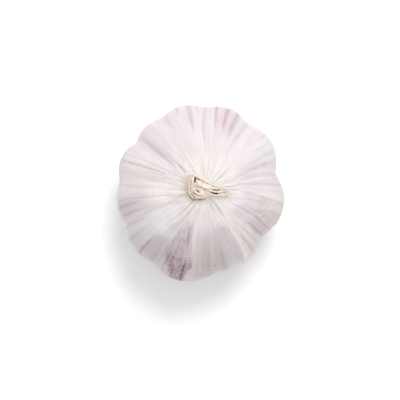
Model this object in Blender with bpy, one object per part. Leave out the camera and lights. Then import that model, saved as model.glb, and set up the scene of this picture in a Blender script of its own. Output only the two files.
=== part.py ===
"""A whole garlic bulb: cloves in their dry skin, the cut neck's rolled leaf sheaths, and the root plate.

Metres, +Z up. The origin is the middle of the flat spot under the root plate, on which the bulb rests.
"""

import math

import bmesh
import bpy
import numpy as np
from mathutils import Matrix

# The wrapped bulb. Each clove: the azimuth of its crown and how far it reaches at the girth, then the
# azimuth and reach of the dip between it and the next one. Degrees and metres.
CLOVES = (
    (38, 0.0304, 56, 0.0296),
    (73, 0.0311, 87, 0.0303),
    (102, 0.0311, 118, 0.0297),
    (129, 0.0301, 142, 0.0288),
    (156, 0.0304, 172, 0.0286),
    (187, 0.0295, 203, 0.0287),
    (219, 0.0304, 236, 0.0293),
    (255, 0.0314, 284, 0.0281),
    (297, 0.0287, 323, 0.0262),
    (352, 0.0293, 374, 0.0273),
)
CROWN_ROUNDNESS = 2.2  # power of the fall from a crown to a dip: higher is a flatter crown
GIRTH_RADIUS = 0.0300  # the profile's own largest radius

# The profile through a crown, from the underside to the foot of the neck: radius, height, how much of the
# cloves' relief shows there, and the share of the way from a round ring to the neck's oval.
PROFILE = (
    (0.0110, 0.0034, 0.0, 0.0),
    (0.0122, 0.0018, 0.4, 0.0),
    (0.0155, 0.0010, 0.9, 0.0),
    (0.0215, 0.0036, 1.2, 0.0),
    (0.0272, 0.0098, 1.1, 0.0),
    (0.0300, 0.0180, 1.0, 0.0),
    (0.0286, 0.0264, 1.0, 0.0),
    (0.0240, 0.0332, 0.9, 0.1),
    (0.0180, 0.0380, 0.7, 0.3),
    (0.0132, 0.0407, 0.3, 0.7),
    (0.0092, 0.0420, 0.0, 1.0),
    (0.0075, 0.0426, 0.0, 1.0),
)
RINGS_PER_SPAN = 2
BULB_COLUMNS = 80

# The neck is squashed flat: in plan it is an oval, turned and off the bulb's axis. It rises from the bulb
# at a slant and is cut across at a steeper one. The cut's height is given along x, with its rise for each
# metre of y.
NECK_CENTRE = (0.0018, -0.0006)
NECK_STRETCH = 1.3  # the oval's half length against its mean radius
NECK_TURN = math.radians(-15)
NECK_FALL = 0.1  # of the neck's foot, for each metre of x
CUT_PLACES = (-0.0045, -0.0010, 0.0020, 0.0060, 0.0095)
CUT_HEIGHTS = (0.0465, 0.0468, 0.0464, 0.0452, 0.0436)
CUT_RISE = 0.33

# The leaf sheaths of the cut neck: each one's thickness, how far its edge lies below the cut, and its line
# seen from above.
SHEATH_FOOT = 0.0429
SHEATH_LEVELS = 4
FOOT_SPREAD = 1.05  # the sheaths splay a little towards the bulb
SAMPLES_PER_SPAN = 3
WRAPPER_LEAF = (
    0.00045,
    0.0004,
    (
        (0.0093, -0.0030),
        (0.0098, -0.0018),
        (0.0091, -0.0004),
        (0.0070, 0.0005),
        (0.0036, 0.0018),
        (0.0005, 0.0034),
        (-0.0023, 0.0048),
        (-0.0042, 0.0044),
        (-0.0050, 0.0028),
        (-0.0050, 0.0000),
        (-0.0047, -0.0024),
        (-0.0036, -0.0039),
        (-0.0022, -0.0046),
        (0.0012, -0.0045),
        (0.0027, -0.0038),
        (0.0050, -0.0035),
        (0.0086, -0.0034),
    ),
)
OUTER_SHEATH = (
    0.00055,
    0.0,
    (
        (0.0088, -0.0015),
        (0.0080, -0.0007),
        (0.0049, 0.0003),
        (0.0016, 0.0017),
        (-0.0011, 0.0032),
        (-0.0026, 0.0038),
        (-0.0037, 0.0034),
        (-0.0041, 0.0020),
        (-0.0041, -0.0002),
        (-0.0038, -0.0018),
        (-0.0029, -0.0033),
        (-0.0021, -0.0039),
    ),
)
MIDDLE_SHEATH = (
    0.00050,
    0.0,
    (
        (-0.0024, 0.0029),
        (-0.0027, 0.0018),
        (-0.0028, 0.0005),
        (-0.0030, -0.0012),
        (-0.0024, -0.0026),
        (-0.0012, -0.0033),
        (0.0006, -0.0034),
        (0.0015, -0.0032),
        (0.0019, -0.0024),
        (0.0018, -0.0016),
    ),
)
INNER_SHEATH = (
    0.00100,
    0.0,
    (
        (0.0046, -0.0004),
        (0.0030, -0.0001),
        (0.0018, 0.0002),
        (0.0006, 0.0007),
        (-0.0005, 0.0011),
        (-0.0013, 0.0013),
    ),
)
TAIL_FOLD = (
    0.00040,
    0.0,
    (
        (0.0030, -0.0012),
        (0.0042, -0.0015),
        (0.0064, -0.0016),
        (0.0077, -0.0015),
        (0.0081, -0.0020),
        (0.0076, -0.0025),
        (0.0060, -0.0026),
        (0.0046, -0.0025),
        (0.0032, -0.0023),
    ),
)

# The innermost roll of the neck: an oval stem.
CORE_CENTRE = (-0.0007, -0.0015)
CORE_HALF_LENGTH = 0.0020
CORE_HALF_WIDTH = 0.00105
CORE_TURN = math.radians(-35)
CORE_FOOT = 0.0434
CORE_TOP = 0.0465
CORE_SIDES = 20
CORE_EDGE_BEVEL = 0.0002

# The corky root plate under the bulb, with the stubs of its trimmed roots.
PLATE_RADIUS = 0.0092
PLATE_FLAT_RADIUS = 0.0078
PLATE_TOP = 0.0029
PLATE_SIDES = 36
STUB_LENGTH = 0.0012
STUB_INSET = 0.0002
STUB_DROOP = 0.35  # fall for each unit outwards
STUB_TAPER = 0.6  # a stub's end against its foot

SHARP_EDGE_ANGLE = math.radians(50)

# Colour and roughness of each material.
SKIN_LOOK = ((0.86, 0.79, 0.80), 0.55)
SHEATH_LOOK = ((0.86, 0.76, 0.62), 0.7)
CORE_LOOK = ((0.88, 0.80, 0.70), 0.75)
ROOT_LOOK = ((0.52, 0.42, 0.30), 0.9)


def clear_scene():
    for obj in list(bpy.data.objects):
        bpy.data.objects.remove(obj)


def matte(name, colour, roughness):
    material = bpy.data.materials.new(name)
    material.use_nodes = True
    shader = material.node_tree.nodes["Principled BSDF"]
    shader.inputs["Base Color"].default_value = (*colour, 1.0)
    shader.inputs["Roughness"].default_value = roughness
    shader.inputs["Metallic"].default_value = 0.0
    return material


def add_object(name, mesh, material):
    mesh.materials.append(material)
    obj = bpy.data.objects.new(name, mesh)
    bpy.context.scene.collection.objects.link(obj)
    return obj


def mesh_from(name, edit):
    """Turns a bmesh into a smooth-shaded mesh whose faces point outwards."""
    bmesh.ops.recalc_face_normals(edit, faces=edit.faces)
    mesh = bpy.data.meshes.new(name)
    edit.to_mesh(mesh)
    edit.free()
    mesh.shade_smooth()
    mesh.set_sharp_from_angle(angle=SHARP_EDGE_ANGLE)
    return mesh


def spline_value(before, start, end, after, share):
    """The Catmull-Rom curve's value at a share of the way from start to end."""
    bend = 2 * before - 5 * start + 4 * end - after
    twist = 3 * start - before - 3 * end + after
    return 0.5 * (2 * start + (end - before) * share + bend * share**2 + twist * share**3)


def smooth_through(points, per_span):
    """A Catmull-Rom curve through points of any number of coordinates, with per_span samples in each span."""
    ends = [points[0], *points, points[-1]]
    curve = []
    for span in zip(ends, ends[1:], ends[2:], ends[3:]):
        for step in range(per_span):
            curve.append(tuple(spline_value(*values, step / per_span) for values in zip(*span)))
    return [*curve, tuple(points[-1])]


def clove_reach(azimuth):
    """The girth's radius at an azimuth in degrees: it falls from each crown to the dips beside it."""
    last_dip = CLOVES[-1][2] - 360
    turned = last_dip + (azimuth - last_dip) % 360
    dip_before, reach_before = last_dip, CLOVES[-1][3]
    for crown, reach, dip, dip_reach in CLOVES:
        if turned <= dip:
            break
        dip_before, reach_before = dip, dip_reach
    side_dip, side_reach = (dip, dip_reach) if turned > crown else (dip_before, reach_before)
    share = abs(turned - crown) / abs(side_dip - crown)
    return reach + (side_reach - reach) * share**CROWN_ROUNDNESS


def neck_point(angle, radius):
    """A point of the neck's turned oval, whose mean radius is radius."""
    along = radius * NECK_STRETCH * math.cos(angle - NECK_TURN)
    across = radius / NECK_STRETCH * math.sin(angle - NECK_TURN)
    return (
        NECK_CENTRE[0] + along * math.cos(NECK_TURN) - across * math.sin(NECK_TURN),
        NECK_CENTRE[1] + along * math.sin(NECK_TURN) + across * math.cos(NECK_TURN),
    )


def neck_slant(x):
    """How far the neck's foot rises above its height at the neck's centre."""
    return NECK_FALL * (NECK_CENTRE[0] - x)


def bulb_ring(radius, height, relief, neck_share):
    """One ring of the skin: the profile's radius with the cloves' relief, turning into the neck's oval."""
    ring = []
    for column in range(BULB_COLUMNS):
        angle = 2 * math.pi * column / BULB_COLUMNS
        reach = radius + relief * (clove_reach(math.degrees(angle)) - GIRTH_RADIUS)
        neck_x, neck_y = neck_point(angle, radius)
        x = reach * math.cos(angle) * (1 - neck_share) + neck_x * neck_share
        y = reach * math.sin(angle) * (1 - neck_share) + neck_y * neck_share
        ring.append((x, y, height + neck_slant(x) * neck_share))
    return ring


def add_bulb(material):
    edit = bmesh.new()
    rings = [
        [edit.verts.new(point) for point in bulb_ring(*station)]
        for station in smooth_through(PROFILE, RINGS_PER_SPAN)
    ]
    for lower, upper in zip(rings, rings[1:]):
        for column in range(BULB_COLUMNS):
            beside = (column + 1) % BULB_COLUMNS
            edit.faces.new((lower[column], lower[beside], upper[beside], upper[column]))
    edit.faces.new(rings[0])
    edit.faces.new(rings[-1])
    return add_object("bulb", mesh_from("bulb", edit), material)


def cut_height(x, y):
    """The height of the neck's slanting cut at a place in plan."""
    return np.interp(x, CUT_PLACES, CUT_HEIGHTS).item() + CUT_RISE * y


def sheath_point(x, y, rise, drop):
    """A point of a sheath's wall: rise is the share of the way from its foot to its edge."""
    spread = FOOT_SPREAD + (1 - FOOT_SPREAD) * rise
    spread_x = NECK_CENTRE[0] + (x - NECK_CENTRE[0]) * spread
    spread_y = NECK_CENTRE[1] + (y - NECK_CENTRE[1]) * spread
    foot = SHEATH_FOOT + neck_slant(spread_x)
    return (spread_x, spread_y, foot + (cut_height(x, y) - drop - foot) * rise)


def add_sheath(name, sheath, material):
    """A leaf sheath: a wall that follows its plan line and splays towards its foot, thickened by Solidify."""
    thickness, drop, plan = sheath
    edit = bmesh.new()
    line = smooth_through(plan, SAMPLES_PER_SPAN)
    levels = [
        [edit.verts.new(sheath_point(x, y, level / SHEATH_LEVELS, drop)) for x, y in line]
        for level in range(SHEATH_LEVELS + 1)
    ]
    for lower, upper in zip(levels, levels[1:]):
        for column in range(len(line) - 1):
            edit.faces.new((lower[column], lower[column + 1], upper[column + 1], upper[column]))
    wall = add_object(name, mesh_from(name, edit), material)
    leaf = wall.modifiers.new("leaf thickness", "SOLIDIFY")
    leaf.thickness = thickness
    leaf.offset = 0.0
    return wall


def add_core(material):
    edit = bmesh.new()
    bmesh.ops.create_cone(
        edit,
        cap_ends=True,
        segments=CORE_SIDES,
        radius1=1.0,
        radius2=1.0,
        depth=CORE_TOP - CORE_FOOT,
    )
    bmesh.ops.scale(edit, verts=edit.verts, vec=(CORE_HALF_LENGTH, CORE_HALF_WIDTH, 1.0))
    ends = [edge for edge in edit.edges if len({round(vert.co.z, 6) for vert in edge.verts}) == 1]
    bmesh.ops.bevel(edit, geom=ends, offset=CORE_EDGE_BEVEL, segments=1, affect="EDGES")
    core = add_object("neck_core", mesh_from("neck_core", edit), material)
    core.location = (*CORE_CENTRE, (CORE_TOP + CORE_FOOT) / 2)
    core.rotation_euler = (0.0, 0.0, CORE_TURN)
    return core


def add_root_plate(material):
    """A corky disc with a flat underside. Every other face of its side is drawn out into a root stub."""
    edit = bmesh.new()
    bmesh.ops.create_cone(
        edit,
        cap_ends=True,
        segments=PLATE_SIDES,
        radius1=PLATE_FLAT_RADIUS,
        radius2=PLATE_RADIUS,
        depth=PLATE_TOP,
    )
    bmesh.ops.translate(edit, verts=edit.verts, vec=(0.0, 0.0, PLATE_TOP / 2))
    sides = sorted(
        (face for face in edit.faces if len(face.verts) == 4),
        key=lambda face: math.atan2(face.calc_center_median().y, face.calc_center_median().x),
    )
    stubs = sides[::2]
    bmesh.ops.inset_individual(edit, faces=stubs, thickness=STUB_INSET)
    for stub in bmesh.ops.extrude_discrete_faces(edit, faces=stubs)["faces"]:
        centre = stub.calc_center_median()
        outwards = centre.copy()
        outwards.z = 0.0
        outwards.normalize()
        outwards.z = -STUB_DROOP
        bmesh.ops.translate(edit, verts=stub.verts, vec=outwards * STUB_LENGTH)
        bmesh.ops.scale(edit, verts=stub.verts, vec=(1.0, 1.0, STUB_TAPER), space=Matrix.Translation(-centre))
    return add_object("root_plate", mesh_from("root_plate", edit), material)


def main():
    clear_scene()
    skin = matte("dry_skin", *SKIN_LOOK)
    sheath = matte("leaf_sheath", *SHEATH_LOOK)
    core = matte("cut_stem", *CORE_LOOK)
    root = matte("cork", *ROOT_LOOK)
    add_bulb(skin)
    add_sheath("wrapper_leaf", WRAPPER_LEAF, skin)
    add_sheath("outer_sheath", OUTER_SHEATH, sheath)
    add_sheath("middle_sheath", MIDDLE_SHEATH, sheath)
    add_sheath("inner_sheath", INNER_SHEATH, sheath)
    add_sheath("tail_fold", TAIL_FOLD, sheath)
    add_core(core)
    add_root_plate(root)


main()
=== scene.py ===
"""A whole garlic bulb: papery skin over the cloves, the cut neck's leaf sheaths, and the root plate.

Shapes are worked out in millimetres with numpy, as stacks of closed rings, and become metres in the mesh.
Angles are in degrees, counter-clockwise seen from above, from +X.
"""

import math

import bpy
import numpy as np
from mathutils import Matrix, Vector


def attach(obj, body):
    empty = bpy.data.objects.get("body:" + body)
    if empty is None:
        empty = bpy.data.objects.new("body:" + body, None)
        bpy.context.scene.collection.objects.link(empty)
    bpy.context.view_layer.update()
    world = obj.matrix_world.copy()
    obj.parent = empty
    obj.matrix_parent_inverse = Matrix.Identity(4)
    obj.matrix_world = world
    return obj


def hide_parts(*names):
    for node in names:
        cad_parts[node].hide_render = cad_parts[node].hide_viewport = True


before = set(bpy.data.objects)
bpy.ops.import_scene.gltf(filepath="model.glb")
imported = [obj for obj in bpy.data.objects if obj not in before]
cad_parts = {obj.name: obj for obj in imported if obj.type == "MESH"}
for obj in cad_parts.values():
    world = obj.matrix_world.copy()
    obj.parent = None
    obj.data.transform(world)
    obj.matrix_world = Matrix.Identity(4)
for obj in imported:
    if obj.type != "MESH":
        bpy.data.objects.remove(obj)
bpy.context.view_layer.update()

MM = 0.001  # metres in a millimetre

# ---- The bulb's sizes, in millimetres ----

# Each clove: the azimuth of its crown and its reach from the axis at the girth, then the azimuth and reach of
# the dip between it and the next clove.
CLOVES = (
    (38, 30.4, 56, 29.6),
    (73, 31.1, 87, 30.3),
    (102, 31.1, 118, 29.7),
    (129, 30.1, 142, 28.8),
    (156, 30.2, 172, 28.7),
    (187, 29.3, 203, 29),
    (219, 30.2, 236, 29.7),
    (255, 31.2, 284, 28.4),
    (297, 28.6, 323, 26.4),
    (352, 29.3, 374, 27.3),
)
CREASE_SHARE = 0.15  # how much of the fall to a dip is a sharp crease: the rest is eased
CROWN_ROUNDNESS = 1.35  # power of the share of the way from a crown to a dip: higher is a flatter crown
GIRTH_RADIUS = 30.0

# The profile through a crown, from the underside to the shoulder: radius, height, how much of the cloves'
# relief shows there, how far its ring is shifted towards the neck's centre as a share of the way, and the
# rows of faces up to the next line.
PROFILE = (
    (5, 3.9, 0, 0, 2),
    (10.6, 3.4, 0, 0, 4),
    (12.2, 1.8, 0.4, 0, 5),
    (15.5, 1, 0.9, 0, 9),
    (21.5, 3.6, 1.2, 0, 12),
    (27.2, 9.8, 1.1, 0, 13),
    (30, 18, 1, 0, 13),
    (28.6, 26.4, 1, 0, 12),
    (24, 33.2, 0.9, 0.13, 13),
    (18, 38, 0.7, 0.4, 13),
    (13.2, 40.7, 0.3, 0.8, 10),
)
SKIN_COLUMNS = 640

# The neck is cut across at a slant: the height of the cut along x, and its rise for each millimetre of y.
CUT_HEIGHTS = ((-4.5, -1.0, 2.0, 6.0, 9.5), (46.2, 46.5, 46.1, 44.9, 43.3))
CUT_RISE = 0.33
NECK_FLOOR = 41.1  # height of the skin's hidden end inside the neck

# The neck: the line where the skin begins to rise to it, as x, y and height, and the rim where the skin ends
# against the sheaths, as x, y and how far it lies below the cut.
NECK_CENTRE = np.array((1.5, -0.8))
NECK_FOOT = (
    (11.8, -1.8, 41.6), (11.2, 1.2, 42), (8.8, 3.4, 42.7), (5.8, 4.6, 43.3), (2.7, 5.7, 43.5),
    (-0.6, 6.7, 43.4), (-4, 6.3, 43.2), (-6.8, 4.1, 43.1), (-7.8, 0.8, 43), (-7.5, -2.6, 42.9),
    (-5.7, -5.7, 43), (-2.4, -7.4, 43), (1.4, -7.4, 42.9), (5, -6.8, 42.6), (8.6, -5.8, 42),
    (11, -4.2, 41.5),
)
NECK_RIM = (
    (9.28, -2.2, 0.05), (9.1, -1.35, 0), (8.36, -0.5, 0), (6.72, 0.04, 0.05), (5, 0.58, 0.15),
    (3.32, 1.28, 0.2), (1.74, 2.05, 0.2), (0.24, 2.85, 0.2), (-0.98, 3.62, 0.2), (-2.3, 4.15, 0.3),
    (-3.6, 4, 0.3), (-4.4, 2.9, 0.4), (-4.42, 1.4, 0.6), (-4.48, 0, 0.8), (-4.4, -1.45, 0.9),
    (-3.88, -2.68, 1), (-3.08, -3.62, 1.1), (-2.2, -4.04, 1.15), (-0.5, -3.98, 1.15), (0.9, -3.9, 1.05),
    (1.85, -3.75, 0.85), (2.5, -3.1, 0.4), (4.2, -2.86, 0.1), (6, -2.96, 0), (7.6, -2.86, 0),
    (8.75, -2.6, 0),
)

# The leaf walls of the neck, seen from above: x, y, thickness, how far the wall's edge stands above the cut,
# and how dry and tan it is. The remnant is what is left of a leaf outside the outer sheath.
OUTER_SHEATH = (
    (9, -1.55, 0.3, 0, 0.3), (8.2, -0.75, 0.4, 0, 0.1), (6.6, -0.2, 0.5, 0, 0), (4.9, 0.35, 0.55, 0, 0),
    (3.2, 1, 0.65, 0, 0), (1.6, 1.75, 0.7, 0, 0), (0.1, 2.55, 0.7, 0, 0), (-1.1, 3.25, 0.65, 0.1, 0),
    (-2.3, 3.75, 0.55, 0, 0.1), (-3.3, 3.7, 0.5, 0, 0.4), (-3.95, 2.8, 0.52, -0.1, 0.6),
    (-4, 1.4, 0.55, -0.2, 0.6), (-4.05, 0, 0.55, -0.2, 0.6), (-3.98, -1.3, 0.55, -0.2, 0.5),
    (-3.52, -2.5, 0.48, -0.1, 0.3), (-2.8, -3.35, 0.45, 0, 0.2), (-2.1, -3.9, 0.35, 0, 0.2),
)
OUTER_REMNANT = (
    (-4.4, 2.1, 0.12, -0.75, 0.3), (-4.68, 1, 0.24, -0.6, 0.2), (-4.78, 0, 0.3, -0.5, 0.1),
    (-4.7, -1.05, 0.32, -0.45, 0.1), (-4.36, -2.12, 0.28, -0.5, 0.2), (-3.84, -3.04, 0.22, -0.65, 0.4),
    (-3.22, -3.84, 0.14, -0.85, 0.6),
)
MIDDLE_SHEATH = (
    (-2.35, 3.1, 0.4, 0.1, 0), (-2.62, 2.5, 0.75, 0.2, 0), (-2.65, 1.6, 0.8, 0.2, 0),
    (-2.8, 0.6, 0.65, 0.1, 0.1), (-3, -0.5, 0.42, 0, 0.4), (-3.02, -1.5, 0.35, 0, 0.5),
    (-2.5, -2.5, 0.4, 0, 0.3), (-1.6, -3.1, 0.6, 0.1, 0.1), (-0.4, -3.38, 0.75, 0.1, 0.1),
    (0.75, -3.38, 0.65, 0.1, 0.2), (1.5, -3.2, 0.5, 0.1, 0.3), (1.8, -2.6, 0.42, 0.1, 0.3),
    (1.85, -1.95, 0.35, 0.1, 0.3),
)
INNER_SHEATH = (
    (6.3, -0.75, 0.25, 0, 0.1), (5.2, -0.52, 0.5, 0, 0), (4.2, -0.36, 0.85, 0, 0), (3, -0.1, 1.35, 0, 0),
    (1.8, 0.18, 1.7, 0, 0), (0.6, 0.72, 1.8, 0, 0.1), (-0.5, 1.12, 1.8, 0, 0.1), (-1.35, 1.35, 1.3, 0, 0.2),
)
CORE_LEAF = (
    (1.75, -1.25, 0.2, 0.1, 0.4), (1.1, -0.8, 0.26, 0, 0.5), (0.2, -0.34, 0.28, 0, 0.5),
    (-0.8, 0.05, 0.28, 0, 0.4), (-1.7, 0.28, 0.24, 0.1, 0.2), (-2.2, 0.25, 0.18, 0, 0.2),
)
TAIL_RIDGE = (
    (1.9, -0.95, 0.3, 0.1, 0.1), (3, -1.2, 0.48, 0.2, 0), (4.2, -1.52, 0.46, 0.3, 0),
    (5.4, -1.64, 0.46, 0.3, 0), (6.5, -1.64, 0.46, 0.3, 0), (7.4, -1.38, 0.38, 0.2, 0.1),
    (8, -1.12, 0.3, 0.1, 0.2),
)
TAIL_EDGE = (
    (2.5, -2.16, 0.4, 0, 0.2), (3.4, -2.32, 0.52, 0.1, 0.1), (4.6, -2.6, 0.5, 0.1, 0.1),
    (6, -2.74, 0.44, 0.1, 0.1), (7.4, -2.62, 0.48, 0, 0.1), (8.5, -2.3, 0.45, 0, 0.1),
    (9.05, -1.9, 0.3, 0, 0.3),
)

# Each sheath: its piece's name, the CAD node it stands for, and for each of its walls the line, the seed of
# its random waves and how fast it browns and darkens below the cut, partly dried colour and partly painted
# shade.
SHEATHS = (
    ("outer_sheath_wall", "outer_sheath", ((OUTER_SHEATH, 81, 1.0), (OUTER_REMNANT, 87, 1.0))),
    ("middle_sheath_wall", "middle_sheath", ((MIDDLE_SHEATH, 82, 1.6),)),
    ("inner_sheath_wall", "inner_sheath", ((INNER_SHEATH, 83, 1.6), (CORE_LEAF, 85, 1.6))),
    ("tail_fold_wall", "tail_fold", ((TAIL_RIDGE, 84, 3.5), (TAIL_EDGE, 86, 3.5))),
)
WALL_FOOT = 41.8  # height of the walls' hidden lower edge
WALL_SPREAD = 1.03  # how much wider than its cut a wall's foot stands round the neck's centre
WALL_STEP = 0.13  # along a wall, from one cross-section to the next
WALL_LEVELS = 16  # points up each side of a wall
LIP_POINTS = 7  # points over its rounded edge


# ---- Shape maths: whole arrays at a time ----


def smoothstep(low, high, value):
    """0 below low, 1 above high, and 3t^2 - 2t^3 of the share t of the way between."""
    share = np.clip((value - low) / (high - low), 0.0, 1.0)
    return share * share * (3.0 - 2.0 * share)


def window(low, low_end, high_start, high, value):
    """0 outside low to high, 1 from low_end to high_start, and a smoothstep between them at each end."""
    return smoothstep(low, low_end, value) * smoothstep(high, high_start, value)


def running_total(steps):
    """The sum of the steps before each place, which starts at 0."""
    return np.concatenate(([0.0], np.cumsum(steps)))


def bell(distance, width, sharpness=2.0):
    """exp(-(distance / width)^sharpness): 1 at no distance, and 0.37 at one width."""
    return np.exp(-(np.abs(distance / width) ** sharpness))


def turn_from(azimuth, other):
    """The angle from other to azimuth the short way round, from -180 to 180."""
    return (azimuth - other + 180.0) % 360.0 - 180.0


def towards(azimuth):
    """The unit vector in plan towards each azimuth."""
    return together(np.cos(np.radians(azimuth)), np.sin(np.radians(azimuth)))


def all_round(columns):
    """That many even azimuths."""
    return np.arange(columns) * 360.0 / columns


def patch(azimuth, height, bearing, spread, middle, reach):
    """A soft oval patch of the skin: a bell of the turn from its bearing, times a bell of the height from
    its middle."""
    return bell(turn_from(azimuth, bearing), spread) * bell(height - middle, reach)[:, None]


def together(*parts):
    """Arrays spread to one shape and put side by side, so that x, y and z make points."""
    return np.stack(np.broadcast_arrays(*parts), axis=-1)


def raised(plan, height):
    """Points in plan, lifted to one height or each to its own."""
    return together(plan[..., 0], plan[..., 1], height)


def curve_through(points, places):
    """A smooth curve through points, or through whole rings of them. A place is a point's number, so 2.5 is
    half way from point 2 to point 3. Each span is a cubic Hermite, with the central difference over chord
    length as the slope at a point."""
    points = np.asarray(points, float)
    flat = points.reshape(len(points), -1)
    knots = running_total(np.linalg.norm(np.diff(flat, axis=0), axis=1))
    slopes = np.gradient(flat, knots, axis=0)
    span = np.clip(np.floor(places).astype(int), 0, len(knots) - 2)
    t = (places - span)[:, None]
    width = (knots[span + 1] - knots[span])[:, None]
    curve = (
        flat[span] * (2 * t**3 - 3 * t**2 + 1)
        + flat[span + 1] * (3 * t**2 - 2 * t**3)
        + slopes[span] * width * (t**3 - 2 * t**2 + t)
        + slopes[span + 1] * width * (t**3 - t**2)
    )
    return curve.reshape(len(t), *points.shape[1:])


def even_curve(points, step):
    """curve_through, with its samples about step apart along the curve in plan."""
    dense = curve_through(points, np.linspace(0, len(points) - 1, 60 * len(points)))
    length = running_total(np.linalg.norm(np.diff(dense[:, :2], axis=0), axis=1))
    at = np.linspace(0.0, length[-1], round(length[-1] / step) + 1)
    return np.stack([np.interp(at, length, column) for column in dense.T], axis=1), at


def neck_loop(points, azimuth):
    """A closed smooth line through points round the neck's centre: its distance from the centre, and the
    points' third value, at each azimuth."""
    count = len(points)
    thrice = np.array(points * 3) - (*NECK_CENTRE, 0.0)
    line = curve_through(thrice, np.linspace(count, 2 * count, 40 * count))
    bearing = np.degrees(np.arctan2(line[:, 1], line[:, 0]))
    distance = np.hypot(line[:, 0], line[:, 1])
    return [np.interp(azimuth, bearing, value, period=360.0) for value in (distance, line[:, 2])]


def cut_height(plan):
    """The height of the neck's slanting cut at a place in plan."""
    return np.interp(plan[..., 0], *CUT_HEIGHTS) + CUT_RISE * (plan[..., 1] + 1.0)


def waves(position, wavelength, seed, count=16):
    """Smooth noise of about -1 to 1: sine waves of about one wavelength in random directions, added up."""
    random = np.random.default_rng(seed)
    direction = random.normal(size=(count, position.shape[-1]))
    direction /= np.linalg.norm(direction, axis=1, keepdims=True)
    rate = 2 * np.pi / (wavelength * random.uniform(0.7, 1.5, count))
    phase = random.uniform(0, 2 * np.pi, count)
    return np.sin(position @ (direction * rate[:, None]).T + phase).sum(axis=-1) / math.sqrt(count)


def distance_to_path(plan, path):
    """How far each point of plan lies from the line through path, and the share of the path at its nearest
    point."""
    best = np.full(plan.shape[:-1], np.inf)
    share = np.zeros(plan.shape[:-1])
    path = np.asarray(path, float)
    for number, (start, end) in enumerate(zip(path, path[1:])):
        along = end - start
        t = np.clip((plan - start) @ along / (along @ along), 0.0, 1.0)
        distance = np.linalg.norm(plan - start - t[..., None] * along, axis=-1)
        nearer = distance < best
        best = np.where(nearer, distance, best)
        share = np.where(nearer, (number + t) / (len(path) - 1), share)
    return best, share


def grid_normals(rings):
    """The unit normal at each point of a stack of closed rings: the cross product of the directions to the
    next column and to the next ring."""
    across = np.roll(rings, -1, axis=1) - np.roll(rings, 1, axis=1)
    up = np.gradient(rings, axis=0)
    normal = np.cross(across, up)
    return normal / np.maximum(np.linalg.norm(normal, axis=-1, keepdims=True), 1e-9)


# ---- Meshes ----


def stack_faces(rings, columns, strip_ends):
    """Quads between neighbouring rings. The ends are closed with a fan to a middle point, or, for rings that
    are thin strips, with quads from one side of the strip to the other."""
    first, column = np.meshgrid(np.arange(rings - 1) * columns, np.arange(columns), indexing="ij")
    beside = (column + 1) % columns
    second = first + columns
    quads = together(first + column, first + beside, second + beside, second + column).reshape(-1, 4)
    last = (rings - 1) * columns
    if strip_ends:
        rung = np.arange(columns // 2 - 1)
        cap = together(rung + 1, rung, columns - 1 - rung, columns - 2 - rung)
        return [*quads.tolist(), *cap.tolist(), *(cap[:, ::-1] + last).tolist()]
    edge = np.arange(columns)
    after = (edge + 1) % columns
    first_fan = together(after, edge, rings * columns)
    last_fan = together(last + edge, last + after, rings * columns + 1)
    return [*quads.tolist(), *first_fan.tolist(), *last_fan.tolist()]


def with_middles(values, strip_ends):
    """A stack's values as one list of points, with the two middle points of its fans at the end."""
    flat = values.reshape(-1, *values.shape[2:])
    if strip_ends:
        return flat
    return np.concatenate((flat, values[:1].mean(axis=1), values[-1:].mean(axis=1)))


def put_in_scene(name, data):
    """An object with that mesh, lamp or camera, linked to the scene."""
    thing = bpy.data.objects.new(name, data)
    bpy.context.scene.collection.objects.link(thing)
    return thing


def add_piece(name, stacks, finish, stands_for=(), strip_ends=False):
    """A piece made of one or more stacks of closed rings. A stack is a dict: "rings", an array of rings,
    columns and x, y, z in millimetres, and any named values for its points, which become the mesh's
    attributes. A stack whose signed volume is negative has its faces turned, so that they point outwards."""
    faces = []
    points = []
    for stack in stacks:
        rings, columns = stack["rings"].shape[:2]
        start = sum(len(done) for done in points)
        solid = with_middles(stack["rings"], strip_ends)
        made = stack_faces(rings, columns, strip_ends)
        corner, second, third = np.moveaxis(solid[np.array([face[:3] for face in made])], 1, 0)
        volume = np.sum((corner - solid.mean(axis=0)) * np.cross(second - corner, third - corner))
        if volume < 0:
            made = [face[::-1] for face in made]
        faces += [[number + start for number in face] for face in made]
        points.append(solid)
    mesh = bpy.data.meshes.new(name)
    mesh.from_pydata(np.concatenate(points) * MM, [], faces)
    for label in stacks[0]:
        if label == "rings":
            continue
        values = np.concatenate([with_middles(stack[label], strip_ends) for stack in stacks])
        is_vector = values.ndim == 2
        attribute = mesh.attributes.new(label, "FLOAT_VECTOR" if is_vector else "FLOAT", "POINT")
        attribute.data.foreach_set("vector" if is_vector else "value", values.astype(np.float32).ravel())
    mesh.shade_smooth()
    mesh.materials.append(finish)
    piece = put_in_scene(name, mesh)
    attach(piece, "root")
    if stands_for:
        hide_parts(*stands_for)


# ---- Shader maths ----


def operator(operation, reflected=False):
    """A method that adds a Math node of that operation."""

    def method(self, other):
        first, second = (other, self) if reflected else (self, other)
        node = self.finish.add("ShaderNodeMath", {"operation": operation}, {0: first, 1: second})
        return Level(self.finish, node.outputs["Value"])

    return method


class Level:
    """A number that varies over a surface. + - and * on it add Math nodes."""

    __add__, __radd__ = operator("ADD"), operator("ADD", True)
    __sub__, __rsub__ = operator("SUBTRACT"), operator("SUBTRACT", True)
    __mul__, __rmul__ = operator("MULTIPLY"), operator("MULTIPLY", True)

    def __init__(self, finish, socket):
        self.finish = finish
        self.socket = socket

    def ramp(self, low, high):
        """0 below low, 1 above high, eased between. low above high turns it round."""
        ends = (low, high, 0.0, 1.0) if low < high else (high, low, 1.0, 0.0)
        values = dict(zip(("From Min", "From Max", "To Min", "To Max"), ends))
        settings = {"interpolation_type": "SMOOTHSTEP"}
        node = self.finish.add("ShaderNodeMapRange", settings, {"Value": self, **values})
        return Level(self.finish, node.outputs["Result"])


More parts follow.
